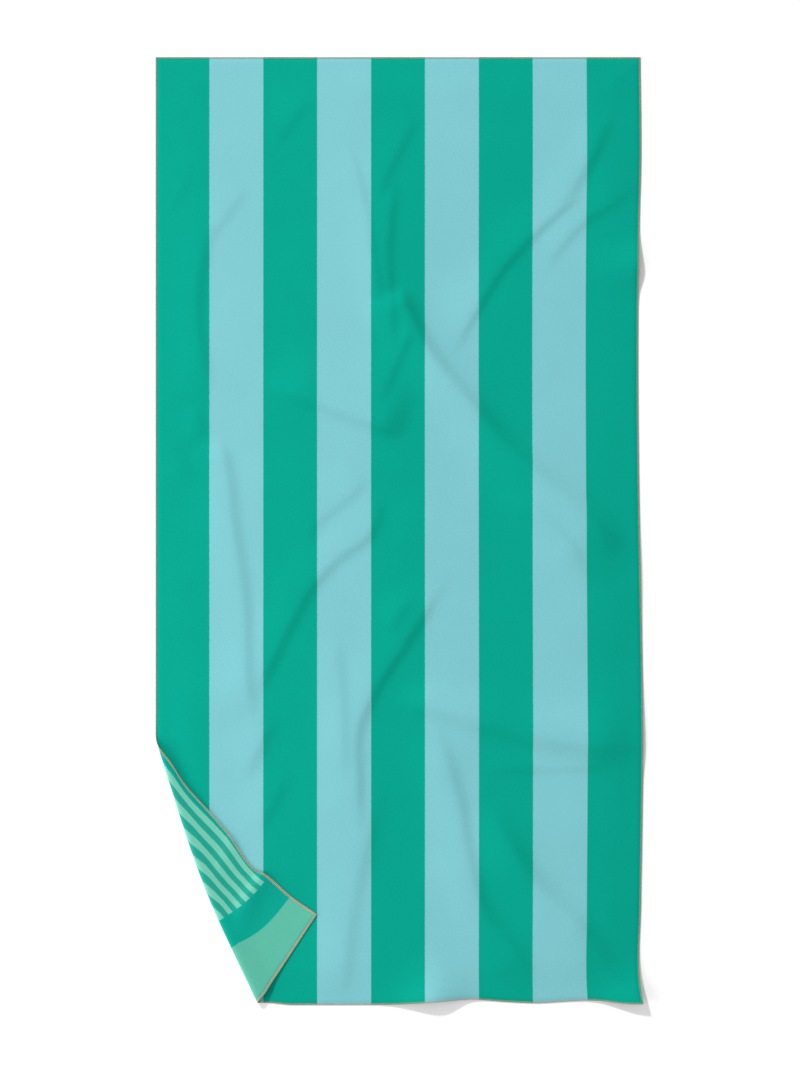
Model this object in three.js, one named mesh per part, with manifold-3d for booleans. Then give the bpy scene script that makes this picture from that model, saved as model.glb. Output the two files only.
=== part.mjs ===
// Quick-dry towel lying flat, front face up, with its bottom left corner turned over.
// Millimetres, +Z up. +Y runs along the length, towards the top edge.
// The origin is the middle of the towel, on the surface that it lies on.

import * as THREE from 'three';
import { mergeVertices } from 'three/addons/utils/BufferGeometryUtils.js';
import Module from 'manifold-3d';

const wasm = await Module();
wasm.setup();
const { Manifold, Mesh: SolidMesh } = wasm;

// Driving dimensions: the cloth.
const TOWEL_WIDTH = 810;
const TOWEL_LENGTH = 1580;
const CLOTH_THICKNESS = 1.6;

// The overlock thread that wraps every cut edge, flush with both faces of the cloth.
const SEAM_WIDTH = 4.5;
const THREAD_THICKNESS = 0.3;
const THREAD_CLEARANCE = 0.25;

// The turned corner: where its fold leaves the two edges, both measured from the corner.
const TURN_UP_LEFT_EDGE = 412;
const TURN_ALONG_BOTTOM_EDGE = 162;
const ROLL_INNER_RADIUS = 3.4;
const ROLL_STEPS = 20;
const CORNER_REST_CLEARANCE = 0.5;

// The care label, sewn to the reverse beside the right edge.
const LABEL_WIDTH = 45;
const LABEL_HEIGHT = 28;
const LABEL_THICKNESS = 0.25;
const LABEL_ABOVE_BOTTOM_EDGE = 150;
const LABEL_CLEARANCE = 0.3;

// The gap between two pieces that meet face to face.
const JOIN_GAP = 0.3;

// Further than any piece reaches, for the blocks that only cut.
const BEYOND = 2 * (TOWEL_WIDTH + TOWEL_LENGTH);

// Derived sizes.
const HALF_WIDTH = TOWEL_WIDTH / 2;
const HALF_LENGTH = TOWEL_LENGTH / 2;
const WRAPPED_THICKNESS = CLOTH_THICKNESS - 2 * (THREAD_THICKNESS + THREAD_CLEARANCE);
const WRAPPED_LOW = (CLOTH_THICKNESS - WRAPPED_THICKNESS) / 2;
const WRAPPED_INSET = THREAD_THICKNESS + THREAD_CLEARANCE;
const FULL_THICKNESS_INSET = SEAM_WIDTH + THREAD_CLEARANCE;
const ROLL_RADIUS = ROLL_INNER_RADIUS + CLOTH_THICKNESS / 2;
const ROLL_CENTRE_HEIGHT = CLOTH_THICKNESS / 2 + ROLL_RADIUS;

// The fold's frame: from its end on the left edge, x runs along the fold to its end on the
// bottom edge, y runs into the towel and z runs up. The roll's outermost line is y = 0.
const foldStart = new THREE.Vector2(-HALF_WIDTH, TURN_UP_LEFT_EDGE - HALF_LENGTH);
const foldEnd = new THREE.Vector2(TURN_ALONG_BOTTOM_EDGE - HALF_WIDTH, -HALF_LENGTH);
const alongFold = foldEnd.clone().sub(foldStart).normalize();
const foldHeading = Math.atan2(alongFold.y, alongFold.x);
const cornerDepth = -alongFold.y * TURN_ALONG_BOTTOM_EDGE;

// The turned corner slopes down from the roll until its tip is just above the cloth.
const dropToCloth = 2 * ROLL_RADIUS - CLOTH_THICKNESS - CORNER_REST_CLEARANCE;
const lengthPastHalfTurn = cornerDepth + ROLL_RADIUS - Math.PI * ROLL_RADIUS;
const droop = Math.asin(dropToCloth / lengthPastHalfTurn);
const rollAngle = Math.PI + droop;
const rollLength = rollAngle * ROLL_RADIUS;

const clothFinish = { color: 0x0ba892, roughness: 0.9, metalness: 0 };
const threadFinish = { color: 0xd98f6f, roughness: 0.7, metalness: 0 };
const labelFinish = { color: 0xf3f1ec, roughness: 0.5, metalness: 0 };

// A closed geometry as a solid that can be joined and cut.
function solidOf(geometry) {
  const bare = geometry.clone();
  bare.deleteAttribute('normal');
  bare.deleteAttribute('uv');
  const merged = mergeVertices(bare);
  const vertProperties = new Float32Array(merged.attributes.position.array);
  const triVerts = new Uint32Array(merged.index.array);
  return new Manifold(new SolidMesh({ numProp: 3, vertProperties, triVerts }));
}

// A solid back as a geometry.
function geometryOf(solid) {
  const mesh = solid.getMesh();
  const geometry = new THREE.BufferGeometry();
  geometry.setAttribute('position', new THREE.BufferAttribute(mesh.vertProperties, 3));
  geometry.setIndex(new THREE.BufferAttribute(mesh.triVerts, 1));
  geometry.computeVertexNormals();
  return geometry;
}

function namedMesh(name, geometry, finish) {
  const mesh = new THREE.Mesh(geometry, new THREE.MeshStandardMaterial(finish));
  mesh.name = name;
  return mesh;
}

// Moves a geometry's vertices one by one, each to where place puts it.
function reshape(geometry, place) {
  const position = geometry.attributes.position;
  const vertex = new THREE.Vector3();
  for (let i = 0; i < position.count; i += 1) {
    vertex.fromBufferAttribute(position, i);
    place(vertex);
    position.setXYZ(i, vertex.x, vertex.y, vertex.z);
  }
  return geometry;
}

// A block between two corners.
function block(low, high) {
  const size = new THREE.Vector3().subVectors(high, low);
  const middle = new THREE.Vector3().addVectors(low, high).multiplyScalar(0.5);
  return new THREE.BoxGeometry(size.x, size.y, size.z).translate(middle.x, middle.y, middle.z);
}

// The rectangle of cloth inside the four edges, from one height to another.
function clothLayer(inset, low, high) {
  const corner = new THREE.Vector2(HALF_WIDTH - inset, HALF_LENGTH - inset);
  return block(new THREE.Vector3(-corner.x, -corner.y, low), new THREE.Vector3(corner.x, corner.y, high));
}

// The whole cloth before its corner is turned: full thickness between the seams, and
// pressed thin along the edges, where the thread wraps it.
function wholeCloth() {
  const face = solidOf(clothLayer(FULL_THICKNESS_INSET, 0, CLOTH_THICKNESS));
  const edge = solidOf(clothLayer(WRAPPED_INSET, WRAPPED_LOW, WRAPPED_LOW + WRAPPED_THICKNESS));
  return face.add(edge);
}

// The thread's section: x is the distance in from the edge and y the height.
function seamSection() {
  const section = new THREE.Shape();
  section.moveTo(0, 0);
  section.lineTo(SEAM_WIDTH, 0);
  section.lineTo(SEAM_WIDTH, THREAD_THICKNESS);
  section.lineTo(THREAD_THICKNESS, THREAD_THICKNESS);
  section.lineTo(THREAD_THICKNESS, CLOTH_THICKNESS - THREAD_THICKNESS);
  section.lineTo(SEAM_WIDTH, CLOTH_THICKNESS - THREAD_THICKNESS);
  section.lineTo(SEAM_WIDTH, CLOTH_THICKNESS);
  section.lineTo(0, CLOTH_THICKNESS);
  section.closePath();
  return section;
}

// A straight run of the seam from a point on the cloth's outline. inward points into the
// towel, and the run goes off to its left as seen from above.
function straightSeam(start, inward, length) {
  const run = new THREE.ExtrudeGeometry(seamSection(), { depth: length, bevelEnabled: false });
  const up = new THREE.Vector3(0, 0, 1);
  const forward = new THREE.Vector3().crossVectors(inward, up);
  const frame = new THREE.Matrix4().makeBasis(inward, up, forward).setPosition(start);
  return run.applyMatrix4(frame);
}

const sideSeamLength = TOWEL_LENGTH - 2 * (SEAM_WIDTH + JOIN_GAP);
const sideSeamEnd = HALF_LENGTH - SEAM_WIDTH - JOIN_GAP;

function topSeam() {
  const start = new THREE.Vector3(HALF_WIDTH, HALF_LENGTH, 0);
  return straightSeam(start, new THREE.Vector3(0, -1, 0), TOWEL_WIDTH);
}

function bottomSeam() {
  const start = new THREE.Vector3(-HALF_WIDTH, -HALF_LENGTH, 0);
  return straightSeam(start, new THREE.Vector3(0, 1, 0), TOWEL_WIDTH);
}

function leftSeam() {
  const start = new THREE.Vector3(-HALF_WIDTH, sideSeamEnd, 0);
  return straightSeam(start, new THREE.Vector3(1, 0, 0), sideSeamLength);
}

function rightSeam() {
  const start = new THREE.Vector3(HALF_WIDTH, -sideSeamEnd, 0);
  return straightSeam(start, new THREE.Vector3(-1, 0, 0), sideSeamLength);
}

// From the towel's frame to the fold's, for cloth that still lies flat.
const toFoldFrame = new THREE.Matrix4()
  .makeRotationZ(foldHeading)
  .setPosition(foldStart.x, foldStart.y, 0)
  .invert();

// The blocks of space that keep the flat part of the towel and the part past the roll,
// both in the fold's frame.
const flatPart = block(
  new THREE.Vector3(-BEYOND, ROLL_RADIUS + JOIN_GAP / 2, -BEYOND),
  new THREE.Vector3(BEYOND, BEYOND, BEYOND),
);
const cornerPart = block(
  new THREE.Vector3(-BEYOND, -BEYOND, -BEYOND),
  new THREE.Vector3(BEYOND, ROLL_RADIUS - rollLength - JOIN_GAP / 2, BEYOND),
);

// What is left of a piece on the flat part, in the towel's frame.
function onTheFlat(solid) {
  const kept = flatPart.clone().applyMatrix4(toFoldFrame.clone().invert());
  return geometryOf(solid.intersect(solidOf(kept)));
}

// What is left of a piece past the roll, still lying flat, in the fold's frame.
function onTheCorner(solid) {
  const kept = cornerPart.clone().applyMatrix4(toFoldFrame.clone().invert());
  return geometryOf(solid.intersect(solidOf(kept))).applyMatrix4(toFoldFrame);
}

// Where a line parallel to the left or bottom edge, some way in from it, crosses the
// fold's frame at a distance y from the fold.
const onLeftEdge = (inset, y) => (inset + y * alongFold.y) / alongFold.x;
const onBottomEdge = (inset, y) => (inset - TURN_UP_LEFT_EDGE - y * alongFold.x) / alongFold.y;

// Bends a vertex round the roll. It comes with x along the fold, y round the roll from
// where the cloth leaves the flat, and z the height in the cloth.
function roundTheRoll(vertex) {
  const angle = vertex.y / ROLL_RADIUS;
  const radius = ROLL_CENTRE_HEIGHT - vertex.z;
  vertex.y = ROLL_RADIUS - radius * Math.sin(angle);
  vertex.z = ROLL_CENTRE_HEIGHT - radius * Math.cos(angle);
}

// The distance round the roll at a share of the way, with the gap left at both ends.
const wayRound = (share) => JOIN_GAP / 2 + share * (rollLength - JOIN_GAP);

// A layer of the cloth in the roll, from the left edge to the bottom edge.
function rolledLayer(inset, low, high) {
  const strip = new THREE.BoxGeometry(1, 1, 1, 1, ROLL_STEPS, 1).translate(0.5, 0.5, 0.5);
  return reshape(strip, (vertex) => {
    const round = wayRound(1 - vertex.y);
    const left = onLeftEdge(inset, ROLL_RADIUS - round);
    const right = onBottomEdge(inset, ROLL_RADIUS - round);
    vertex.set(
      THREE.MathUtils.lerp(left, right, vertex.x),
      round,
      THREE.MathUtils.lerp(low, high, vertex.z),
    );
    roundTheRoll(vertex);
  });
}

function rolledCloth() {
  const face = solidOf(rolledLayer(FULL_THICKNESS_INSET, 0, CLOTH_THICKNESS));
  const edge = solidOf(rolledLayer(WRAPPED_INSET, WRAPPED_LOW, WRAPPED_LOW + WRAPPED_THICKNESS));
  return geometryOf(face.add(edge));
}

// A run of the seam in the roll. onEdge is the edge that it wraps, and share turns the
// way along the run into the way round the roll.
function rolledSeam(onEdge, share) {
  const run = new THREE.ExtrudeGeometry(seamSection(), {
    depth: 1,
    steps: ROLL_STEPS,
    bevelEnabled: false,
  });
  return reshape(run, (vertex) => {
    const round = wayRound(share(vertex.z));
    vertex.set(onEdge(vertex.x, ROLL_RADIUS - round), round, vertex.y);
    roundTheRoll(vertex);
  });
}

// The label lies in a shallow recess in the reverse, flush with it.
const labelOuter = HALF_WIDTH - FULL_THICKNESS_INSET - LABEL_CLEARANCE - JOIN_GAP;
const labelBottom = LABEL_ABOVE_BOTTOM_EDGE - HALF_LENGTH;

function label() {
  return block(
    new THREE.Vector3(labelOuter - LABEL_WIDTH, labelBottom, 0),
    new THREE.Vector3(labelOuter, labelBottom + LABEL_HEIGHT, LABEL_THICKNESS),
  );
}

function labelRecess() {
  const low = new THREE.Vector3(
    labelOuter - LABEL_WIDTH - LABEL_CLEARANCE,
    labelBottom - LABEL_CLEARANCE,
    -CLOTH_THICKNESS,
  );
  const high = new THREE.Vector3(
    labelOuter + LABEL_CLEARANCE,
    labelBottom + LABEL_HEIGHT + LABEL_CLEARANCE,
    LABEL_THICKNESS + LABEL_CLEARANCE,
  );
  return block(low, high);
}

// The part of the towel that lies flat.
function flatTowel() {
  const group = new THREE.Group();
  const cloth = wholeCloth().subtract(solidOf(labelRecess()));
  group.add(namedMesh('cloth_panel', onTheFlat(cloth), clothFinish));
  group.add(namedMesh('seam_top', topSeam(), threadFinish));
  group.add(namedMesh('seam_right', rightSeam(), threadFinish));
  group.add(namedMesh('seam_bottom', onTheFlat(solidOf(bottomSeam())), threadFinish));
  group.add(namedMesh('seam_left', onTheFlat(solidOf(leftSeam())), threadFinish));
  group.add(namedMesh('care_label', label(), labelFinish));
  return group;
}

// The soft roll between the flat towel and the turned corner, in the fold's frame.
function roll() {
  const group = new THREE.Group();
  const leftRun = rolledSeam(onLeftEdge, (share) => share);
  const bottomRun = rolledSeam(onBottomEdge, (share) => 1 - share);
  group.add(namedMesh('cloth_fold', rolledCloth(), clothFinish));
  group.add(namedMesh('fold_seam_left', leftRun, threadFinish));
  group.add(namedMesh('fold_seam_bottom', bottomRun, threadFinish));
  return group;
}

// The turned corner: modelled flat, then carried over by the roll, in the fold's frame.
function turnedCorner() {
  const flat = new THREE.Group();
  flat.position.set(0, rollLength - ROLL_RADIUS, -ROLL_CENTRE_HEIGHT);
  flat.add(namedMesh('cloth_corner', onTheCorner(wholeCloth()), clothFinish));
  flat.add(namedMesh('corner_seam_left', onTheCorner(solidOf(leftSeam())), threadFinish));
  flat.add(namedMesh('corner_seam_bottom', onTheCorner(solidOf(bottomSeam())), threadFinish));
  const turned = new THREE.Group();
  turned.position.set(0, ROLL_RADIUS, ROLL_CENTRE_HEIGHT);
  turned.rotation.x = -rollAngle;
  turned.add(flat);
  return turned;
}

const fold = new THREE.Group();
fold.position.set(foldStart.x, foldStart.y, 0);
fold.rotation.z = foldHeading;
fold.add(roll(), turnedCorner());

const towel = new THREE.Group();
towel.name = 'quick_dry_towel';
towel.add(flatTowel(), fold);

export default towel;
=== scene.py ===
# A striped quick dry towel lying flat, with its bottom left corner turned over.
# Metres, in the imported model's frame; only creases, lifts and the tables of edges are in
# millimetres. The cloth is described flat, as it was cut: a runs from its left edge, b from its
# bottom edge and h up out of its front face.
import logging
import math
from dataclasses import dataclass
from enum import Enum

import bmesh
import bpy
import numpy as np
from bmesh.types import BMEdge, BMesh, BMVert
from bpy.types import Material, Mesh, Node, NodeSocket, NodeTree, Object
from mathutils import Matrix, Vector


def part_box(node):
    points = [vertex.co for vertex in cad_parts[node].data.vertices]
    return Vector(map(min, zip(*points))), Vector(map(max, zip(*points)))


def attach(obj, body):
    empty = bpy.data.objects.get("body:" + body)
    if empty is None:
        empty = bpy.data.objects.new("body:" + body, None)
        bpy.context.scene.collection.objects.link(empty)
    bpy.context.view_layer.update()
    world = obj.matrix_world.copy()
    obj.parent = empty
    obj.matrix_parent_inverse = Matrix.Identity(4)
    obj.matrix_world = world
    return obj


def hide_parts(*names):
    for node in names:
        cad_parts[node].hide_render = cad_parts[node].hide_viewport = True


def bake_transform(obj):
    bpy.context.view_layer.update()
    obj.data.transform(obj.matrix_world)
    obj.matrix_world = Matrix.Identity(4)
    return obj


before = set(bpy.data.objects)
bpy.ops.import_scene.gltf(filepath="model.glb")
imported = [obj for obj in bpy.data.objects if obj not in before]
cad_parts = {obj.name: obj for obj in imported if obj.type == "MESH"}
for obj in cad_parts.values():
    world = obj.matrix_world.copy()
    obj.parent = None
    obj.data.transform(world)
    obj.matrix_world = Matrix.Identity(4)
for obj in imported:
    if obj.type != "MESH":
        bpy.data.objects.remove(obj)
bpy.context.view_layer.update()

FLAT_MAP = "flat_cut"
Array = np.ndarray
Two = tuple[float, float]
Three = tuple[float, float, float]
Four = tuple[float, float, float, float]
log = logging.getLogger("towel")


def eased(value: Array, low: float, high: float) -> Array:
    """A smooth step.

    Args:
        value: where to look.
        low: the step starts here, at 0.
        high: the step ends here, at 1.

    Returns:
        Numbers from 0 to 1.
    """
    share = np.clip((value - low) / (high - low), 0, 1)
    return share * share * (3 - 2 * share)


def smooth_through(at: Array, knots: Array, values: Array) -> Array:
    """A smooth curve through given points, level past both ends.

    Args:
        at: where the curve is wanted.
        knots: where the points are, rising.
        values: the curve's values there.

    Returns:
        The curve's values at each place.
    """
    slopes = np.gradient(values, knots)
    at = np.clip(at, knots[0], knots[-1])
    i = np.clip(np.searchsorted(knots, at) - 1, 0, len(knots) - 2)
    span = knots[i + 1] - knots[i]
    s = (at - knots[i]) / span
    start = values[i] * (1 + 2 * s) * (1 - s) ** 2 + slopes[i] * span * s * (1 - s) ** 2
    end = values[i + 1] * s * s * (3 - 2 * s) + slopes[i + 1] * span * s * s * (s - 1)
    return start + end


@dataclass(frozen=True)
class Cut:
    """The cloth as it was cut, and its overlocked edge."""

    width: float
    length: float
    thickness: float
    seam: float = 0.0045
    pressed: float = 0.42
    stitch_pitch: float = 0.0022

    @classmethod
    def from_frame(cls) -> "Cut":
        """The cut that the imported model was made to."""
        low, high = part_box("seam_top")
        return cls(width=high.x - low.x, length=2 * high.y, thickness=high.z - low.z)

    def inset(self, a: Array, b: Array) -> Array:
        """How far places on the cloth are from its nearest edge."""
        return np.minimum(np.minimum(a, self.width - a), np.minimum(b, self.length - b))

    def flat_place(self, a: Array, b: Array) -> tuple[Array, Array]:
        """Where places on the cloth lie in plan before any corner is turned."""
        return a - self.width / 2, b - self.length / 2


@dataclass(frozen=True)
class Crease:
    """A ridge in the cloth, in millimetres.

    Its steep side is on the left of the way along its path. At the path's end the ridge is grow
    times as high and as wide as at its start.
    """

    path: tuple[Two, ...]
    rise: float
    steep: float = 10
    soft: float = 30
    fade_in: float = 80
    fade_out: float = 80
    grow: float = 1
    step: float = 10
    crest: float = 0.7
    extent: float = 3.2

    def line(self) -> Array:
        """The path as a smooth line of close points."""
        knots = np.array(self.path)
        run = np.concatenate([[0], np.cumsum(np.linalg.norm(np.diff(knots, axis=0), axis=1))])
        at = np.linspace(0, run[-1], max(3, round(run[-1] / self.step)))
        return np.stack([smooth_through(at, run, knots[:, i]) for i in (0, 1)], axis=1)

    def height(self, x: Array, y: Array) -> Array:
        """How high the ridge stands.

        Args:
            x: places across, in metres.
            y: places along, in metres.

        Returns:
            The ridge's height at each place, in metres.
        """
        x, y, line = 1000 * x, 1000 * y, self.line()
        reach = self.extent * self.soft * max(1.0, self.grow)
        out = np.zeros(len(x))
        near = (x > line[:, 0].min() - reach) & (x < line[:, 0].max() + reach)
        near &= (y > line[:, 1].min() - reach) & (y < line[:, 1].max() + reach)
        if not near.any():
            return out
        point = np.stack([x[near], y[near]], axis=1)[:, None]
        start, way = line[:-1], np.diff(line, axis=0)
        size = np.linalg.norm(way, axis=1)
        share = np.clip(((point - start) * way).sum(-1) / size**2, 0, 1)
        off = point - start - share[..., None] * way
        gap = np.linalg.norm(off, axis=-1)
        i = gap.argmin(axis=1)
        row = np.arange(len(i))
        side = np.sign(way[i, 0] * off[row, i, 1] - way[i, 1] * off[row, i, 0])
        along = np.concatenate([[0], np.cumsum(size)])[i] + share[row, i] * size[i]
        scale = 1 + (self.grow - 1) * along / size.sum()
        across = side * gap[row, i] + self.crest * self.steep * scale
        width = np.where(across > 0, self.steep, self.soft) * scale
        ends = np.ones(len(i))
        if self.fade_in:
            ends *= eased(along, 0, self.fade_in)
        if self.fade_out:
            ends *= eased(size.sum() - along, 0, self.fade_out)
        out[near] = self.rise / 1000 * scale * np.exp(-((across / width) ** 2)) * ends
        return out


@dataclass(frozen=True)
class EdgeLift:
    """A stretch of an edge that stands off the floor, in millimetres."""

    x: float
    y: float
    rise: float
    across: float
    along: float

    def height(self, x: Array, y: Array) -> Array:
        """How high the cloth stands at each place, all in metres."""
        across, along = (1000 * x - self.x) / self.across, (1000 * y - self.y) / self.along
        return self.rise / 1000 * np.exp(-(across**2) - along**2)


# The creases of the part that lies flat.
LAID_CREASES = (
    Crease(((362, 708), (349, 670), (334, 635), (316, 603), (297, 570), (268, 530)), 2.7, 11, 40, 70, 70),
    Crease(
        ((318, 562), (290, 545), (255, 516), (224, 486), (176, 433), (132, 362), (80, 272)),
        2.7, 7.8, 40, 60, 110,
    ),
    Crease(
        ((2, 412), (13, 388), (44, 326), (79, 274), (132, 212), (184, 150), (224, 115), (272, 72),
         (316, 37), (360, 1), (405, -30)),
        7, 10.5, 38, 35, 100, 1.5,
    ),
    Crease(((2, 600), (-9, 520), (-13, 450), (-8.5, 379), (-4, 300)), 2.7, 8.5, 34, 80, 50),
    Crease(((-85, 660), (-52, 543), (-38, 451), (-13, 317)), 1.8, 9, 38),
    Crease(((41, 700), (3, 630), (-34, 548)), 1.8, 9, 36, 50, 40),
    Crease(((28, 340), (-30, 205)), 2, 9, 36, 30, 40),
    Crease(((12, 250), (16, 190), (20, 150)), 0.7, 12, 32, 40, 50),
    Crease(((14, 152), (-18, 163), (-139, 207), (-245, 245)), 6, 14, 60, 50, 100),
    Crease(((-300, 530), (-314, 485), (-331, 368), (-306, 216)), 2, 11, 36),
    Crease(((-245, 578), (-320, 475)), 1.2, 10, 36, 40, 40),
    Crease(((-340, 595), (-390, 520)), 1.2, 10, 36, 40, 40),
    Crease(((-138, 728), (-212, 630)), 1.3, 10, 36, 40, 40),
    Crease(
        ((-300, 165), (-289, 134), (-269, 0), (-252, -117), (-247, -251), (-236, -330)),
        3.1, 12, 46, 50, 80,
    ),
    Crease(
        ((-15, 75), (-53, -18), (-89, -43), (-141, -97), (-176, -159), (-211, -229), (-240, -290)),
        2.9, 11, 46, 100, 70,
    ),
    Crease(((-45, 92), (-80, 53), (-132, 10), (-160, -34)), 1.6, 10, 38, 40, 50),
    Crease(
        ((95, -65), (70, -104), (20, -184), (-43, -284), (-62, -330), (-63, -426), (-60, -520)),
        3.2, 10.5, 46, 130, 100,
    ),
    Crease(((-18, -410), (-52, -543), (-72, -643), (-89, -790)), 2.2, 15, 46, 120, 30),
    Crease(
        ((405, -374), (350, -373), (290, -367), (222, -357), (132, -329), (61, -308), (-10, -285)),
        8.8, 31, 70, 0, 60, 0.42,
    ),
    Crease(((360, -399), (250, -402), (135, -402)), 1.5, 8, 26, 50, 50),
    Crease(
        ((62, -310), (70, -334), (104, -443), (124, -551), (145, -627), (216, -719), (240, -760)),
        3.8, 14, 44, 100, 80,
    ),
    Crease(((155, -445), (187, -510), (237, -585), (312, -660), (385, -755)), 7.4, 18, 46, 120, 140),
    Crease(((30, -107), (-18, -177)), 1.5, 10, 30, 30, 30),
    Crease(((405, 576), (360, 542), (316, 515), (272, 467), (242, 418)), 1.9, 8.5, 34, 20, 80),
    Crease(((150, 70), (221, 45), (272, 0), (304, -43), (322, -100)), 3.1, 13, 36, 80, 90),
    Crease(((325, 30), (375, -17), (410, -60)), 2.2, 12, 28, 70, 30),
    Crease(((-195, -300), (-262, -435)), 2.1, 12, 40, 60, 70),
    Crease(((-172, -395), (-240, -525)), 1.8, 12, 40, 60, 70),
    Crease(((-342, 215), (-314, 150)), 1.6, 10, 30, 30, 30),
    Crease(((-395, 158), (-333, 85)), 1.2, 9, 30, 40, 40),
    Crease(((-103, -170), (-92, -260), (-88, -440)), 1.8, 11, 36, 60, 100),
)

# Where the edges stand off the floor, from the right edge round to the bottom edge.
EDGE_LIFTS = (
    EdgeLift(415, 444, 8.5, 50, 34),
    EdgeLift(415, -75, 1.5, 45, 70),
    EdgeLift(415, -387, 1, 45, 28),
    EdgeLift(408, -800, 12, 56, 50),
    EdgeLift(58, -800, 13.2, 47, 55),
)


@dataclass(frozen=True)
class Lie:
    """How the part that isn't turned over lies on the floor."""

    cut: Cut
    creases: tuple[Crease, ...] = LAID_CREASES
    lifts: tuple[EdgeLift, ...] = EDGE_LIFTS
    right_edge: tuple[Two, ...] = (
        (-790, 4.2), (-765, 0.5), (-620, 1), (-500, 3), (-360, 4.5), (-200, 3), (-100, 1), (0, -1),
        (530, -1), (600, 1), (790, 0),
    )
    bottom_edge: tuple[Two, ...] = (
        (-250, 0), (-200, -3), (-130, -3.5), (-50, -3.3), (0, -2.5), (47, 1.5), (87, 4.2), (120, 5.8),
        (142, 4.7), (172, 2.2), (202, 0.4), (231, -0.5), (275, 1.8), (315, 4), (337, 3.4), (360, 0.8),
        (378, -0.8), (405, -0.8),
    )
    drift_reach: float = 0.1
    edge_share: float = 0.32
    edge_reach: float = 0.075
    swell: float = 0.0011
    swell_reach: float = 0.07

    def height(self, x: Array, y: Array) -> Array:
        """How far the cloth stands off the floor, from its creases, lifts and gentle swells."""
        inside = self.cut.inset(x + self.cut.width / 2, y + self.cut.length / 2)
        pressed = self.edge_share + (1 - self.edge_share) * eased(inside, 0, self.edge_reach)
        total = sum(crease.height(x, y) for crease in self.creases) * pressed
        total += sum(lift.height(x, y) for lift in self.lifts)
        wave = np.sin(9 * x + 4 * y + 1.3) * np.sin(5 * y - 3 * x + 0.4)
        wave += 0.5 * np.sin(21 * x - 8 * y) * np.sin(13 * y + 5 * x + 2.0)
        return total + self.swell * (wave + 1.5) * eased(inside, 0, self.swell_reach)

    def drift(self, x: Array, y: Array) -> tuple[Array, Array]:
        """How far the cloth is drawn along the floor, most at its wavy edges."""
        right, bottom = np.array(self.right_edge) / 1000, np.array(self.bottom_edge) / 1000
        from_right = np.clip(self.cut.width / 2 - x, 0, None)
        from_bottom = np.clip(self.cut.length / 2 + y, 0, None)
        dx = smooth_through(y, right[:, 0], right[:, 1]) * np.exp(-from_right / self.drift_reach)
        dy = smooth_through(x, bottom[:, 0], bottom[:, 1]) * np.exp(-from_bottom / self.drift_reach)
        return dx, dy


@dataclass(frozen=True)
class Fold:
    """The roll that turns the corner over, and how the turned corner lies."""

    start: Vector
    along: Vector
    length: float
    radius: float = 0.004
    bow: float = 0.0124
    skew: float = 0.09
    joined_inside: float = 0.009
    slack: float = 0.0026
    slack_reach: float = 0.024
    settle: float = 0.031
    settle_power: float = 1.4
    drawn_from: Two = (0.002, 0.022)
    creased_from: Two = (0.004, 0.03)
    gap: float = 0.0003
    rounds: int = 10
    left_edge_shift: tuple[Three, ...] = (
        (0, -2.6, 18), (58, -2.2, 14), (112, -7.5, 21), (145, -2, 8.5), (230, 5.3, 14), (278, 3.7, 12),
        (303, 2, 9.4), (343, -0.8, 5.3), (385, 0, 3.8), (431, 0, 0),
    )
    bottom_edge_shift: tuple[Three, ...] = (
        (0, -2.6, 18), (60, 1, 13.5), (125, 4.6, 8.5), (150, 5, 5), (165, 2, 2), (175, 0, 0),
    )
    creases: tuple[Crease, ...] = (
        Crease(((0, 128), (60, 120), (120, 100)), 3.2, 18, 22, 0, 70),
        Crease(((0, 225), (40, 205), (80, 190)), 1.2, 14, 22, 0, 50),
    )

    @classmethod
    def on(cls, cut: Cut) -> "Fold":
        """The fold between its two ends, near the left edge and the bottom edge.

        Args:
            cut: the cloth.

        Returns:
            The fold.
        """
        up_left_edge, in_from_left = 0.4307, 0.004
        along_bottom_edge, past_bottom = 0.1711, 0.0004
        corner = Vector((-cut.width / 2, -cut.length / 2))
        start = corner + Vector((in_from_left, up_left_edge))
        span = corner + Vector((along_bottom_edge, -past_bottom)) - start
        return cls(start=start, along=span.normalized(), length=span.length)

    @property
    def inward(self) -> Vector:
        """The way from the fold into the towel, in plan."""
        return Vector((-self.along.y, self.along.x))

    def frame_of(self, x: Array, y: Array) -> tuple[Array, Array]:
        """Distances along the line between the fold's ends, and inward from it."""
        dx, dy = x - self.start.x, y - self.start.y
        return dx * self.along.x + dy * self.along.y, dx * self.inward.x + dy * self.inward.y

    def outline(self, t: Array) -> Array:
        """Where the roll's outermost line is, all along it: outward of its ends."""
        share = t / self.length
        late = share - self.skew * share * (1 - share)
        parabola, wave = 0.55, 0.45
        return -self.bow * (parabola * 4 * late * (1 - late) + wave * np.sin(np.pi * late) ** 2)

    def join_point(self) -> Vector:
        """A point on the line where the lying cloth meets the fold's piece."""
        return self.start + self.inward * self.joined_inside

    def unroll(self, x: Array, y: Array) -> tuple[Array, Array, Array]:
        """Where cloth meets the fold.

        Args:
            x: places across, before the corner is turned.
            y: places along, before the corner is turned.

        Returns:
            The nearest place along the roll's outermost line, that line's slope there, and
            how far past the roll's foot the cloth is.
        """
        t, d = self.frame_of(x, y)
        foot, step = t, 0.001
        for _ in range(self.rounds):
            slope = (self.outline(foot + step) - self.outline(foot - step)) / (2 * step)
            foot = t + (d - self.outline(foot)) * slope
        outward = ((t - foot) * slope - (d - self.outline(foot))) / np.hypot(1, slope)
        return foot, slope, outward + self.radius


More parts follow.
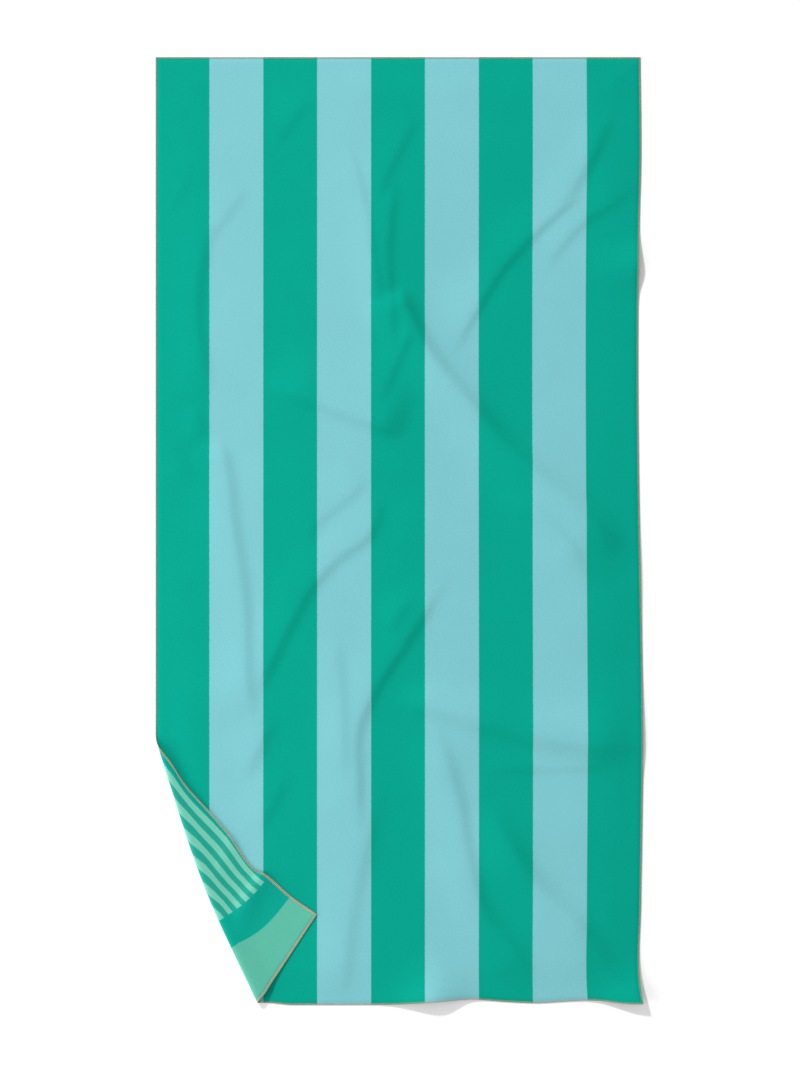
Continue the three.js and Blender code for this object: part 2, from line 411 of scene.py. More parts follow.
@dataclass(frozen=True)
class LaidTowel:
    """The whole towel as it lies: where each place on its cloth is."""

    cut: Cut
    lie: Lie
    fold: Fold
    free_from: Two = (0.001, 0.045)
    past_roll: float = 0.004

    def free(self, x: Array, y: Array) -> Array:
        """How freely the cloth lies: 0 where the fold holds it flat and 1 clear of that."""
        return eased(self.fold.frame_of(x, y)[1] - self.fold.joined_inside, *self.free_from)

    def ground(self, x: Array, y: Array) -> Array:
        """How high the lying cloth's middle layer is, at each place in plan."""
        return self.cut.thickness / 2 + self.lie.height(x, y) * self.free(x, y)

    def shift(self, a: Array, b: Array) -> tuple[Array, Array]:
        """How far the turned corner's slack draws it along, beyond rolling alone."""
        left = np.array(self.fold.left_edge_shift) / 1000
        bottom = np.array(self.fold.bottom_edge_shift) / 1000
        last_a, last_b = bottom[-1, 0], left[-1, 0]
        by_left = np.clip(1 - a / np.maximum(last_a * (1 - b / last_b), 1e-4), 0, 1)
        by_bottom = np.clip(1 - b / np.maximum(last_b * (1 - a / last_a), 1e-4), 0, 1)
        out = []
        for i in (1, 2):
            from_left = smooth_through(b, left[:, 0], left[:, i]) * by_left
            from_bottom = smooth_through(a, bottom[:, 0], bottom[:, i]) * by_bottom
            out.append(from_left + from_bottom - left[0, i] * by_left * by_bottom)
        return out[0], out[1]

    def middle(self, a: Array, b: Array) -> Array:
        """Where the cloth's middle layer is.

        Args:
            a: distances from the left edge.
            b: distances from the bottom edge.

        Returns:
            One point for each.
        """
        x, y = self.cut.flat_place(a, b)
        dx, dy = self.lie.drift(x, y)
        free = self.free(x, y)
        out = np.stack([x + dx * free, y + dy * free, self.ground(x, y)], axis=1)
        t, d = self.fold.frame_of(x, y)
        turned = d - self.fold.outline(t) < self.fold.radius + self.past_roll
        if turned.any():
            out[turned] = self.turned(a[turned], b[turned], x[turned], y[turned])
        return out

    def turned(self, a: Array, b: Array, x: Array, y: Array) -> Array:
        """Where the rolled and turned cloth is, given its place on the cut and flat in plan."""
        fold, r, half = self.fold, self.fold.radius, self.cut.thickness / 2
        foot, slope, past = fold.unroll(x, y)
        angle = np.clip(past / r, 0, math.pi)
        level = np.clip(past - math.pi * r, 0, None)
        level = level - fold.slack * eased(level, 0, fold.slack_reach)
        inside = np.where(past < 0, r - past, r - r * np.sin(angle) + level)
        lean = np.hypot(1, slope)
        t = foot - slope / lean * inside
        d = fold.outline(foot) + inside / lean
        dx, dy = self.shift(a, b)
        drawn = eased(past, *fold.drawn_from)
        px = fold.start.x + t * fold.along.x + d * fold.inward.x + dx * drawn
        py = fold.start.y + t * fold.along.y + d * fold.inward.y + dy * drawn
        top = 2 * r + half
        under = self.ground(px, py) + self.cut.thickness + fold.gap
        sink = np.exp(-((level / fold.settle) ** fold.settle_power))
        over = under + (top - under) * sink
        over += sum(crease.height(a, b) for crease in fold.creases) * eased(level, *fold.creased_from)
        z = np.where(level > 0, over, half + r - r * np.cos(angle))
        return np.stack([px, py, z], axis=1)

    def place(self, a: Array, b: Array, h: Array) -> Array:
        """Where points on, in or beside the cloth are.

        Args:
            a: distances from the left edge.
            b: distances from the bottom edge.
            h: distances out of the middle layer, towards the front.

        Returns:
            One point for each.
        """
        step = 0.0005
        way_a = self.middle(a + step, b) - self.middle(a - step, b)
        way_b = self.middle(a, b + step) - self.middle(a, b - step)
        normal = np.cross(way_a, way_b)
        normal /= np.linalg.norm(normal, axis=1, keepdims=True)
        return self.middle(a, b) + normal * h[:, None]

    def lay(self, mesh: Mesh, a: Array, b: Array, h: Array) -> None:
        """Moves a mesh's vertices from the cut to where they lie."""
        mesh.vertices.foreach_set("co", self.place(a, b, h).ravel())
        mesh.update()


def vertex_array(mesh: Mesh) -> Array:
    """A mesh's vertices as rows of x, y and z."""
    flat = np.zeros(len(mesh.vertices) * 3)
    mesh.vertices.foreach_get("co", flat)
    return flat.reshape(-1, 3)


def add_flat_map(mesh: Mesh, a: Array, b: Array, longest: float) -> None:
    """Gives a mesh its place on the flat cut as a UV map.

    Args:
        mesh: the mesh.
        a: each vertex's distance from the left edge.
        b: each vertex's distance from the bottom edge.
        longest: the distance that the map counts as 1.
    """
    corner = np.zeros(len(mesh.loops), dtype=np.int32)
    mesh.loops.foreach_get("vertex_index", corner)
    uv = np.stack([a[corner], b[corner]], axis=1) / longest
    mesh.uv_layers.new(name=FLAT_MAP).data.foreach_set("uv", uv.ravel())


def flat_grid(steps: tuple[int, int], reach: Two, height: float) -> BMesh:
    """A flat grid with one corner over the origin.

    Args:
        steps: how many faces it has across and along.
        reach: how far it goes across and along.
        height: how high it lies.

    Returns:
        The grid.
    """
    bm = bmesh.new()
    bmesh.ops.create_grid(bm, x_segments=steps[0], y_segments=steps[1], size=0.5)
    spread = Matrix.Diagonal((*reach, 1, 1)) @ Matrix.Translation((0.5, 0.5, height))
    bmesh.ops.transform(bm, matrix=spread, verts=bm.verts)
    return bm


def bisect(bm: BMesh, point: tuple, way: tuple, **clear: bool) -> None:
    """Cuts a shape along a plane, and clears a side of it where that is asked."""
    everything = bm.verts[:] + bm.edges[:] + bm.faces[:]
    bmesh.ops.bisect_plane(bm, geom=everything, plane_co=point, plane_no=way, **clear)


def thicken(bm: BMesh, rise: float) -> None:
    """Makes a flat shape a closed slab.

    Args:
        bm: the flat shape.
        rise: how far above it the slab's second face is.
    """
    raised = bmesh.ops.extrude_face_region(bm, geom=bm.faces[:])["geom"]
    lifted = [e for e in raised if isinstance(e, BMVert)]
    bmesh.ops.translate(bm, vec=(0, 0, rise), verts=lifted)
    bmesh.ops.recalc_face_normals(bm, faces=bm.faces)


def mesh_of(name: str, bm: BMesh) -> Mesh:
    """A new mesh of a finished shape, which is let go."""
    mesh = bpy.data.meshes.new(name)
    bm.to_mesh(mesh)
    bm.free()
    return mesh


def object_of(name: str, mesh: Mesh) -> Object:
    """A new object at the origin that shows a mesh."""
    piece = bpy.data.objects.new(name, mesh)
    bpy.context.scene.collection.objects.link(piece)
    return piece


class Nodes:
    """Adds shader nodes to a tree and links them."""

    def __init__(self, tree: NodeTree) -> None:
        """Takes the tree that the nodes go into."""
        self.tree = tree

    def add(self, kind: str, inputs: dict | None = None, **settings: object) -> Node:
        """Adds a node.

        Args:
            kind: the node's type.
            inputs: values or output sockets for its inputs, by name or number.
            settings: the node's own settings.

        Returns:
            The node.
        """
        node = self.tree.nodes.new(kind)
        for name, value in settings.items():
            setattr(node, name, value)
        for key, value in (inputs or {}).items():
            self.give(node.inputs[key], value)
        return node

    def give(self, socket: NodeSocket, value: object) -> None:
        """Sets an input, or links it to an output."""
        if isinstance(value, NodeSocket):
            self.tree.links.new(value, socket)
        else:
            socket.default_value = value

    def maths(self, operation: str, *values: object) -> NodeSocket:
        """The outcome of one sum."""
        return self.add("ShaderNodeMath", dict(enumerate(values)), operation=operation).outputs[0]

    def step(self, value: object, low: object, high: object) -> NodeSocket:
        """A smooth step from 0 at low to 1 at high."""
        inputs = {"Value": value, "From Min": low, "From Max": high}
        return self.add("ShaderNodeMapRange", inputs, interpolation_type="SMOOTHSTEP").outputs["Result"]

    def mix(self, share: object, first: object, second: object, blend: str = "MIX") -> NodeSocket:
        """One colour mixed with another."""
        node = self.add("ShaderNodeMix", {"Factor": share}, data_type="RGBA", blend_type=blend)
        for name, value in (("A", first), ("B", second)):
            self.give(next(s for s in node.inputs if s.name == name and s.type == "RGBA"), value)
        return next(s for s in node.outputs if s.type == "RGBA")

    def line(self, value: NodeSocket, slope: float, start: object) -> NodeSocket:
        """A value times a slope, plus a start."""
        return self.maths("ADD", self.maths("MULTIPLY", value, slope), start)

    def noise(self, place: NodeSocket, scale: object, detail: float, **more: float) -> NodeSocket:
        """A flat noise from 0 to 1."""
        inputs = {"Vector": place, "Scale": scale, "Detail": detail, **more}
        return self.add("ShaderNodeTexNoise", inputs, noise_dimensions="2D").outputs[0]

    def bump(self, height: NodeSocket, strength: float, distance: float) -> NodeSocket:
        """A normal that follows a height."""
        inputs = {"Height": height, "Strength": strength, "Distance": distance}
        return self.add("ShaderNodeBump", inputs).outputs[0]

    def surface(self, inputs: dict) -> None:
        """Makes a Principled shader the material's surface."""
        shader = self.add("ShaderNodeBsdfPrincipled", inputs)
        self.add("ShaderNodeOutputMaterial", {"Surface": shader.outputs[0]})


def new_material(name: str) -> tuple[Material, Nodes]:
    """A material with no nodes yet, and what adds them."""
    material = bpy.data.materials.new(name)
    material.use_nodes = True
    material.node_tree.nodes.clear()
    return material, Nodes(material.node_tree)


def linear(red: int, green: int, blue: int) -> Four:
    """A colour given as display values from 0 to 255, as the shaders take it."""
    parts = [c / 255 for c in (red, green, blue)]
    return (*(c / 12.92 if c < 0.04045 else ((c + 0.055) / 1.055) ** 2.4 for c in parts), 1.0)


def new_group(name: str, inputs: dict[str, float], outputs: tuple[str, ...]) -> NodeTree:
    """An empty node group.

    Args:
        name: the group's name.
        inputs: its inputs, and what each starts at. One named Vector is a vector.
        outputs: its number outputs.

    Returns:
        The group.
    """
    group = bpy.data.node_groups.new(name, "ShaderNodeTree")
    for label, value in inputs.items():
        kind = "NodeSocketVector" if label == "Vector" else "NodeSocketFloat"
        socket = group.interface.new_socket(name=label, in_out="INPUT", socket_type=kind)
        if label != "Vector":
            socket.default_value = value
    for label in outputs:
        group.interface.new_socket(name=label, in_out="OUTPUT", socket_type="NodeSocketFloat")
    return group


def looped_pile() -> NodeTree:
    """The short microfibre loops: their height, and the colour flecks between them."""
    group = new_group("looped pile", {"Vector": 0.0, "Loop": 0.0011}, ("Height", "Fleck", "Patch"))
    n = Nodes(group)
    given = n.add("NodeGroupInput").outputs
    density = n.maths("DIVIDE", 1.0, given["Loop"])
    loops = n.add(
        "ShaderNodeTexVoronoi",
        {"Vector": given["Vector"], "Scale": density, "Randomness": 0.7},
        voronoi_dimensions="2D", feature="F1",
    )
    dome = n.step(loops.outputs["Distance"], 0.75, 0.05)
    fibre = n.noise(given["Vector"], n.maths("MULTIPLY", density, 2.6), 2.0)
    height = n.line(dome, 0.7, n.maths("MULTIPLY", fibre, 0.3))
    fleck = n.noise(given["Vector"], n.maths("MULTIPLY", density, 0.42), 3.0, Roughness=0.65)
    patch = n.noise(given["Vector"], 14.0, 2.0)
    n.add("NodeGroupOutput", {"Height": height, "Fleck": fleck, "Patch": patch})
    return group


def printed_stripes() -> NodeTree:
    """Equal stripes: 0 on the first colour and 1 on the second, with the dye's slight bleed."""
    group = new_group(
        "printed stripes",
        {"Across": 0.0, "First middle": 0.045, "Stripe": 0.09, "Bleed": 0.0005},
        ("Second",),
    )
    n = Nodes(group)
    given = n.add("NodeGroupInput").outputs
    from_middle = n.maths("SUBTRACT", given["Across"], given["First middle"])
    swing = n.maths("PINGPONG", from_middle, given["Stripe"])
    half = n.maths("MULTIPLY", given["Stripe"], 0.5)
    second = n.step(swing, n.maths("SUBTRACT", half, given["Bleed"]), n.maths("ADD", half, given["Bleed"]))
    n.add("NodeGroupOutput", {"Second": second})
    return group


class Side(Enum):
    """The two printed faces of the cloth, and its cut edge."""

    FRONT = "front print"
    REVERSE = "reverse print"
    EDGE = "cut edge"


@dataclass(frozen=True)
class TowelPrint:
    """The printed microfibre, one face of it at a time."""

    longest: float
    pile: NodeTree
    stripes: NodeTree
    green: Four = linear(5, 156, 135)
    light_blue: Four = linear(121, 190, 197)
    mint: Four = linear(112, 192, 171)
    between_mint: Four = linear(35, 156, 137)
    band_green: Four = linear(8, 158, 139)
    band_mint: Four = linear(90, 180, 157)
    front_stripe: float = 0.09
    reverse_stripe: float = 0.0087
    reverse_start: float = 0.0111
    stripes_end: Four = (0.1045, 0.031, 0.102, 2.6)
    band_end: Four = (0.059, 0.032, 0.124, 3.2)
    drawn_to: float = 0.15
    stripe_wander: tuple[Three, ...] = ((0.108, 0.155, 0.0063), (0.18, 0.34, -0.0045))
    wander: float = 0.0016
    fleck_shade: Two = (0.07, 0.965)
    patch_shade: Two = (0.05, 0.975)
    front_bleed: float = 0.0006
    reverse_bleed: float = 0.0007
    band_bleed: float = 0.0008
    pile_height: float = 0.00022

    def material(self, side: Side) -> Material:
        """The material of one face.

        Args:
            side: which face.

        Returns:
            The material.
        """
        material, n = new_material(side.value)
        flat = n.add("ShaderNodeUVMap", uv_map=FLAT_MAP).outputs[0]
        place = n.add("ShaderNodeVectorMath", {0: flat, "Scale": self.longest}, operation="SCALE").outputs[0]
        pile = n.add("ShaderNodeGroup", {"Vector": place}, node_tree=self.pile)
        split = n.add("ShaderNodeSeparateXYZ", {0: place})
        wander = n.maths("MULTIPLY", n.maths("SUBTRACT", pile.outputs["Fleck"], 0.5), self.wander)
        a = n.maths("ADD", split.outputs[0], wander)
        b = n.maths("ADD", split.outputs[1], wander)
        colour = {Side.FRONT: self.front, Side.REVERSE: self.reverse, Side.EDGE: self.edge}[side](n, a, b)
        flecked = n.line(n.step(pile.outputs["Fleck"], 0.3, 0.7), *self.fleck_shade)
        shade = n.maths("MULTIPLY", flecked, n.line(pile.outputs["Patch"], *self.patch_shade))
        grey = n.add("ShaderNodeCombineColor", {0: shade, 1: shade, 2: shade}).outputs[0]
        n.surface({
            "Base Color": n.mix(1.0, colour, grey, "MULTIPLY"), "Roughness": 0.95,
            "Specular IOR Level": 0.03, "Sheen Weight": 0.06, "Sheen Roughness": 0.4,
            "Sheen Tint": (0.75, 0.95, 0.9, 1.0),
            "Normal": n.bump(pile.outputs["Height"], 0.6, self.pile_height),
        })
        return material

    def second(self, n: Nodes, a: NodeSocket, start: float, stripe: float, bleed: float) -> NodeSocket:
        """The share of the second colour in equal stripes.

        Args:
            n: adds the nodes.
            a: distance from the left edge.
            start: where the first stripe starts.
            stripe: the stripes' width.
            bleed: how far the dye bleeds.

        Returns:
            The share.
        """
        inputs = {"Across": a, "First middle": start + stripe / 2, "Stripe": stripe, "Bleed": bleed}
        return n.add("ShaderNodeGroup", inputs, node_tree=self.stripes).outputs[0]

    def front(self, n: Nodes, a: NodeSocket, b: NodeSocket) -> NodeSocket:
        """The front's nine wide stripes, green first."""
        second = self.second(n, a, 0, self.front_stripe, self.front_bleed)
        return n.mix(second, self.green, self.light_blue)

    def reverse(self, n: Nodes, a: NodeSocket, b: NodeSocket) -> NodeSocket:
        """The reverse's thin stripes, its plain green band and its mint end band."""
        inside = n.maths("MINIMUM", n.maths("MAXIMUM", a, 0.0), self.drawn_to)
        ends = []
        for height, rise, reach, power in (self.stripes_end, self.band_end):
            share = n.maths("POWER", n.maths("DIVIDE", inside, reach), power)
            ends.append(n.line(share, rise, height))
        for low, high, amount in self.stripe_wander:
            a = n.line(n.step(b, low, high), amount, a)
        second = self.second(n, a, self.reverse_start, self.reverse_stripe, self.reverse_bleed)
        thin = n.mix(second, self.mint, self.between_mint)
        bleed = self.front_bleed
        margin = n.step(a, self.reverse_start - bleed, self.reverse_start + bleed)
        thin = n.mix(margin, self.band_green, thin)
        past_stripes, past_band = (
            n.step(n.maths("SUBTRACT", b, end), -self.band_bleed, self.band_bleed) for end in ends
        )
        return n.mix(past_band, self.band_mint, n.mix(past_stripes, self.band_green, thin))

    def edge(self, n: Nodes, a: NodeSocket, b: NodeSocket) -> NodeSocket:
        """The cut edge, where the two prints meet in the pile."""
        return n.mix(0.5, self.front(n, a, b), self.reverse(n, a, b))


@dataclass(frozen=True)
class ThreadFinish:
    """Textured polyester overlock thread."""

    colour: Four = linear(226, 176, 146)
    shadow: Four = linear(190, 132, 102)
    twist: float = 0.0006

    def material(self) -> Material:
        """The thread's material, with its plies and uneven dye."""
        material, n = new_material("overlock thread")
        place = n.add("ShaderNodeTexCoord").outputs["Object"]
        plies = n.add(
            "ShaderNodeTexWave",
            {"Vector": place, "Scale": 0.3 / self.twist, "Distortion": 3.0, "Detail": 1.0},
            bands_direction="DIAGONAL",
        ).outputs["Fac"]
        dye = n.add("ShaderNodeTexNoise", {"Vector": place, "Scale": 60.0, "Detail": 2.0}).outputs[0]
        share = n.line(plies, 0.55, n.maths("MULTIPLY", dye, 0.45))
        colour = n.mix(n.step(share, 0.1, 0.7), self.shadow, self.colour)
        n.surface({
            "Base Color": colour, "Roughness": 0.62, "Specular IOR Level": 0.2, "Sheen Weight": 0.15,
            "Sheen Roughness": 0.5, "Normal": n.bump(plies, 0.5, 0.0001),
        })
        return material


@dataclass(frozen=True)
class LabelFinish:
    """White satin ribbon, left blank."""

    colour: Four = linear(240, 238, 232)
    shadow: Four = linear(226, 223, 215)
    density: float = 900.0

    def material(self) -> Material:
        """The ribbon's material, with its fine weave."""
        material, n = new_material("satin ribbon")
        place = n.add("ShaderNodeTexCoord").outputs["Object"]
        wave = n.add("ShaderNodeTexWave", {"Vector": place, "Scale": self.density, "Distortion": 0.6})
        weave = wave.outputs["Fac"]
        n.surface({
            "Base Color": n.mix(weave, self.shadow, self.colour), "Roughness": 0.38,
            "Specular IOR Level": 0.5, "Normal": n.bump(weave, 0.3, 0.00005),
        })
        return material


class Part(Enum):
    """The two pieces that the cloth is made in: the part that lies flat and the turned corner."""

    LYING = "towel_cloth"
    TURNED = "turned_corner_cloth"


@dataclass
class Cloth:
    """The printed cloth, cut out flat as a thin slab and then laid."""

    towel: LaidTowel
    finish: TowelPrint
    lying_pitch: float = 0.0056
    turned_pitch: float = 0.0013
    turned_reach: Two = (0.21, 0.47)
    seam_press: Two = (0.0041, 0.0063)
    label_recess: float = 0.00035
    label_margin: float = 0.00672
    edge_lines: tuple[float, ...] = (0.0008, 0.004, 0.0062)

    def slab(self, part: Part) -> BMesh:
        """One piece of the cloth as a flat slab, 1 thick, from -0.5 to 0.5.

        Args:
            part: which piece.

        Returns:
            The slab, its front faces with material 0, its reverse 1 and its rim 2.
        """
        cut, fold = self.towel.cut, self.towel.fold
        pitch = self.lying_pitch if part is Part.LYING else self.turned_pitch
        reach = (cut.width, cut.length) if part is Part.LYING else self.turned_reach
        bm = flat_grid(tuple(round(size / pitch) for size in reach), reach, -0.5)
        for inset in self.edge_lines:
            bisect(bm, (inset, 0, 0), (1, 0, 0))
            bisect(bm, (0, inset, 0), (0, 1, 0))
            bisect(bm, (cut.width - inset, 0, 0), (1, 0, 0))
            bisect(bm, (0, cut.length - inset, 0), (0, 1, 0))
        at = fold.join_point() + Vector((cut.width / 2, cut.length / 2))
        lying = part is Part.LYING
        bisect(bm, (*at, -0.5), (*fold.inward, 0), clear_inner=lying, clear_outer=not lying)
        thicken(bm, 1)
        for face in bm.faces:
            face.smooth = True
            face.material_index = 2 if abs(face.normal.z) < 0.5 else int(face.normal.z < 0)
        for edge in bm.edges:
            edge.smooth = len({f.material_index for f in edge.link_faces}) == 1
        return bm

    def half_thickness(self, a: Array, b: Array, reverse: Array) -> Array:
        """How far each face is from the middle layer: less under the seam and the label.

        Args:
            a: distances from the left edge.
            b: distances from the bottom edge.
            reverse: whether each place is on the reverse.

        Returns:
            The distances.
        """
        cut = self.towel.cut
        pressed = cut.pressed + (1 - cut.pressed) * eased(cut.inset(a, b), *self.seam_press)
        low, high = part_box("care_label")
        margin = self.label_margin
        x, y = cut.flat_place(a, b)
        on_label = (x > low.x - margin) & (x < high.x + margin)
        on_label &= (y > low.y - margin) & (y < high.y + margin)
        return cut.thickness / 2 * pressed - self.label_recess * (on_label & reverse) * (pressed > 0.9)

    def build(self, part: Part) -> Object:
        """Cuts out one piece of the cloth, lays it and dresses it.

        Args:
            part: which piece.

        Returns:
            The piece.
        """
        mesh = mesh_of(part.value, self.slab(part))
        a, b, side = vertex_array(mesh).T
        add_flat_map(mesh, a, b, self.towel.cut.length)
        h = 2 * side * self.half_thickness(a, b, side < 0)
        self.towel.lay(mesh, a, b, h)
        for face in Side:
            mesh.materials.append(bpy.data.materials.get(face.value) or self.finish.material(face))
        return object_of(part.value, mesh)


@dataclass(frozen=True)
class SeamRun:
    """One run of the overlock: the edge that it wraps, and from where to where."""

    name: str
    nodes: tuple[str, ...]
    edge: str
    start: float
    end: float
    turned: bool = False


@dataclass
class Overlock:
    """The overlocked edge: looper thread that zigzags round the edge, and a needle thread."""

    towel: LaidTowel
    material: Material
    front_width: float = 0.002
    reverse_width: float = 0.0042
    thread: float = 0.00016
    needle_share: float = 0.84
    needle_inside: float = 0.0001
    needle_height: float = 0.00066
    drawn_under: Three = (0.09, 0.135, 0.62)
    sides: int = 5

    def stations(self) -> list[Four]:
        """The looper thread over one stitch: share of the pitch, inset, height and half width."""
        out, up = -0.00026, 0.00052
        front, reverse = 0.00018, 0.0003
        return [
            (0.00, self.front_width, up, front), (0.2, 0.0002, up, front), (0.27, out, 0.0, reverse),
            (0.34, 0.0002, -up, reverse), (0.52, self.reverse_width, -up, reverse),
            (0.7, 0.0002, -up, reverse), (0.77, out, 0.0, reverse), (0.84, 0.0002, up, front),
            (1.00, self.front_width, up, front),
        ]

    def stitch(self) -> Mesh:
        """One stitch of looper and needle thread, x along the edge, y inward and z out."""
        pitch = self.towel.cut.stitch_pitch
        bm = bmesh.new()
        ring = bmesh.ops.create_circle(bm, segments=self.sides, radius=1)["verts"]
        edges = bm.edges[:]
        last = Matrix.Identity(4)
        stations = self.stations()
        points = [Vector((share * pitch, inset, up)) for share, inset, up, _ in stations]
        for i, point in enumerate(points):
            way = Vector((0, 1))
            if i % 4:
                arriving, leaving = point - points[i - 1], points[i + 1] - point
                way = (arriving.yz.normalized() + leaving.yz.normalized()).normalized()
            out = Vector((0, -way.y, way.x))
            wide = stations[i][3]
            here = Matrix.Translation(point) @ Matrix(
                ((wide, 0, 0, 0), (0, out.y * self.thread, way.x, 0), (0, out.z * self.thread, way.y, 0),
                 (0, 0, 0, 1))
            )
            if i:
                grown = bmesh.ops.extrude_edge_only(bm, edges=edges)["geom"]
                ring = [e for e in grown if isinstance(e, BMVert)]
                edges = [e for e in grown if isinstance(e, BMEdge)]
            bmesh.ops.transform(bm, matrix=here @ last.inverted(), verts=ring)
            last = here
        needle = bmesh.ops.create_cone(
            bm, cap_ends=True, segments=self.sides, radius1=self.thread, radius2=self.thread,
            depth=self.needle_share * pitch,
        )["verts"]
        lie = Matrix.Translation((0.5 * pitch, self.front_width - self.needle_inside, self.needle_height))
        bmesh.ops.transform(bm, matrix=lie @ Matrix.Rotation(math.pi / 2, 4, "Y"), verts=needle)
        return mesh_of("stitch", bm)

    def build(self, run: SeamRun) -> Object:
        """Repeats the stitch along one run and bends it round the cloth's edge.

        Args:
            run: which run.

        Returns:
            The run's piece.
        """
        cut = self.towel.cut
        pitch = cut.stitch_pitch
        count = max(2, round((run.end - run.start) / pitch))
        pattern = object_of("stitch", self.stitch())
        row = pattern.modifiers.new("row", "ARRAY")
        row.count = count
        row.use_relative_offset = False
        row.use_constant_offset = True
        row.constant_offset_displace = (pitch, 0, 0)
        row.use_merge_vertices = True
        row.merge_threshold = 0.00002
        bpy.context.view_layer.update()
        evaluated = pattern.evaluated_get(bpy.context.evaluated_depsgraph_get())
        mesh = bpy.data.meshes.new_from_object(evaluated)
        bpy.data.objects.remove(pattern)
        s, inset, h = vertex_array(mesh).T
        s = run.start + s * (run.end - run.start) / (count * pitch)
        if run.turned and run.edge == "left":
            start, end, share = self.drawn_under
            inset = inset * (1 - (1 - share) * eased(s, start, end) * (inset > 0))
        a, b = {
            "left": (inset, s), "bottom": (s, inset),
            "right": (cut.width - inset, s), "top": (s, cut.length - inset),
        }[run.edge]
        self.towel.lay(mesh, a, b, h)
        bm = bmesh.new()
        bm.from_mesh(mesh)
        bmesh.ops.holes_fill(bm, edges=[e for e in bm.edges if e.is_boundary], sides=self.sides)
        bmesh.ops.recalc_face_normals(bm, faces=bm.faces)
        for face in bm.faces:
            face.smooth = len(face.verts) == 4
        bm.to_mesh(mesh)
        bm.free()
        mesh.name = run.name
        mesh.materials.clear()
        mesh.materials.append(self.material)
        return object_of(run.name, mesh)


@dataclass
class CareLabel:
    """A blank satin label on the reverse, in the shallow recess of the pile."""

    towel: LaidTowel
    material: Material
    thickness: float = 0.00025
    buried: float = 0.0005
    steps: tuple[int, int] = (15, 9)

    def build(self) -> Object:
        """Cuts the ribbon and lays it against the reverse."""
        low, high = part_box("care_label")
        bm = flat_grid(self.steps, (high.x - low.x, high.y - low.y), 0)
        thicken(bm, -self.thickness)
        mesh = mesh_of("sewn_label", bm)
        a, b, h = vertex_array(mesh).T
        cut = self.towel.cut
        a = a + low.x + cut.width / 2
        b = b + low.y + cut.length / 2
        self.towel.lay(mesh, a, b, h - self.buried)
        mesh.materials.append(self.material)
        return object_of("sewn_label", mesh)


@dataclass(frozen=True)
class Studio:
    """A plain pale floor, an even sky, a strong light at the top left and a soft one low on the left."""

    eye: Three = (0.00334, -0.00836, 4.967)
    lens: float = 100.0
    sensor: float = 36.0
    sky: float = 0.58
    key_way: Three = (-0.4945, 0.7413, 0.454)
    key_distance: float = 14.0
    key_size: float = 1.0
    key_power: float = 1800.0
    side_way: Three = (-3.0, -1.2, 1.0)
    side_distance: float = 3.35
    side_size: float = 1.6
    side_power: float = 60.0
    floor_reach: float = 40.0
    floor_colour: Four = (0.98, 0.98, 0.98, 1.0)

    def lamp(self, name: str, way: tuple, distance: float, size: float, power: float) -> None:
        """Hangs a square light that faces the middle of the floor.

        Args:
            name: the light's name.
            way: where it hangs, seen from the middle.
            distance: how far off it hangs.
            size: how wide it is.
            power: its power in watts.
        """
        data = bpy.data.lights.new(name, "AREA")
        data.size = size
        data.energy = power
        lamp = bpy.data.objects.new(name, data)
        lamp.location = Vector(way).normalized() * distance
        lamp.rotation_euler = Vector(way).to_track_quat("Z", "Y").to_euler()
        bpy.context.scene.collection.objects.link(lamp)

    def floor(self) -> None:
        """Lays the pale floor."""
        bm = bmesh.new()
        bmesh.ops.create_grid(bm, x_segments=1, y_segments=1, size=self.floor_reach)
        floor = object_of("floor", mesh_of("floor", bm))
        pale, n = new_material("pale floor")
        n.surface({"Base Color": self.floor_colour, "Roughness": 1.0, "Specular IOR Level": 0.0})
        floor.data.materials.append(pale)

    def camera(self) -> None:
        """Hangs the camera over the middle, looking straight down."""
        camera = bpy.data.objects.new("camera", bpy.data.cameras.new("camera"))
        camera.data.lens = self.lens
        camera.data.sensor_width = self.sensor
        camera.location = self.eye
        bpy.context.scene.collection.objects.link(camera)
        bpy.context.scene.camera = camera

    def build(self) -> None:
        """Makes the sky, the floor, the lights and the camera."""
        scene = bpy.context.scene
        scene.view_settings.view_transform = "Standard"
        scene.world = bpy.data.worlds.new("even sky")
        scene.world.use_nodes = True
        background = scene.world.node_tree.nodes["Background"]
        background.inputs["Color"].default_value = (1, 1, 1, 1)
        background.inputs["Strength"].default_value = self.sky
        self.floor()
        self.lamp("key", self.key_way, self.key_distance, self.key_size, self.key_power)
        self.lamp("side", self.side_way, self.side_distance, self.side_size, self.side_power)
        self.camera()


def follow_fold(piece: Object) -> None:
    """Bakes a piece's place into its mesh, and leaves it unattached.

    Args:
        piece: the piece, in place.
    """
    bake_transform(piece)


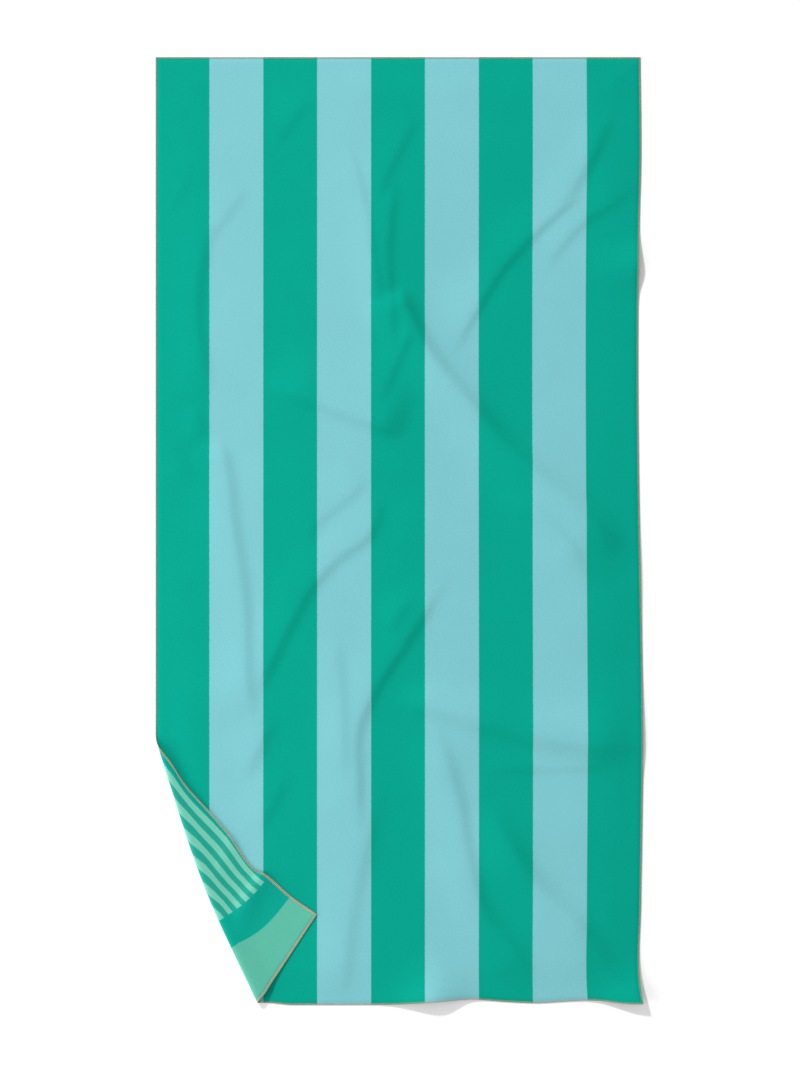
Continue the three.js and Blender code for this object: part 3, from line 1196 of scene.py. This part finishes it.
def seam_runs(cut: Cut, fold: Fold) -> tuple[SeamRun, ...]:
    """The runs of the overlock, split where the cloth's two pieces meet."""
    at, way = fold.join_point() + Vector((cut.width / 2, cut.length / 2)), fold.inward
    bottom = at.x + at.y * way.y / way.x
    left = at.y + at.x * way.x / way.y
    corner, gap = cut.seam, 0.0003
    return (
        SeamRun("overlock_top", ("seam_top",), "top", 0.0, cut.width),
        SeamRun("overlock_right", ("seam_right",), "right", corner + gap, cut.length - corner - gap),
        SeamRun("overlock_bottom", ("seam_bottom",), "bottom", bottom, cut.width),
        SeamRun("overlock_left", ("seam_left",), "left", left, cut.length - corner - gap),
        SeamRun(
            "turned_overlock_left", ("fold_seam_left", "corner_seam_left"), "left", corner + gap, left,
            turned=True,
        ),
        SeamRun(
            "turned_overlock_bottom", ("fold_seam_bottom", "corner_seam_bottom"), "bottom", 0.0, bottom,
            turned=True,
        ),
    )


def finish_piece(
    piece: Object, nodes: tuple[str, ...], turned: bool = False,
) -> None:
    """Attaches a piece to the towel, or bakes it in place if it is turned, then hides the CAD nodes that it
    replaces and logs its faces.

    Args:
        piece: the piece, in place.
        nodes: the CAD nodes that it replaces.
        turned: whether it is a piece of the turned corner.
    """
    if turned:
        follow_fold(piece)
    else:
        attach(piece, "towel")
    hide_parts(*nodes)
    log.info("%s: %d faces", piece.name, len(piece.data.polygons))


def main() -> None:
    """Builds the towel piece by piece, then the studio."""
    logging.basicConfig(level=logging.INFO, format="%(name)s %(message)s")
    cut = Cut.from_frame()
    fold = Fold.on(cut)
    towel = LaidTowel(cut, Lie(cut), fold)
    finish = TowelPrint(cut.length, looped_pile(), printed_stripes())
    cloth = Cloth(towel, finish)
    lying = cloth.build(Part.LYING)
    finish_piece(lying, ("cloth_panel",))
    turned = cloth.build(Part.TURNED)
    finish_piece(turned, ("cloth_fold", "cloth_corner"), True)
    overlock = Overlock(towel, ThreadFinish().material())
    with_lying, with_turned, starts = [], [], {}
    for run in seam_runs(cut, fold):
        starts[run.name] = run.start
        seam = overlock.build(run)
        finish_piece(seam, run.nodes, run.turned)
        (with_turned if run.turned else with_lying).append(seam)
    label = CareLabel(towel, LabelFinish().material()).build()
    finish_piece(label, ("care_label",))
    Studio().build()


if __name__ == "__main__":
    main()
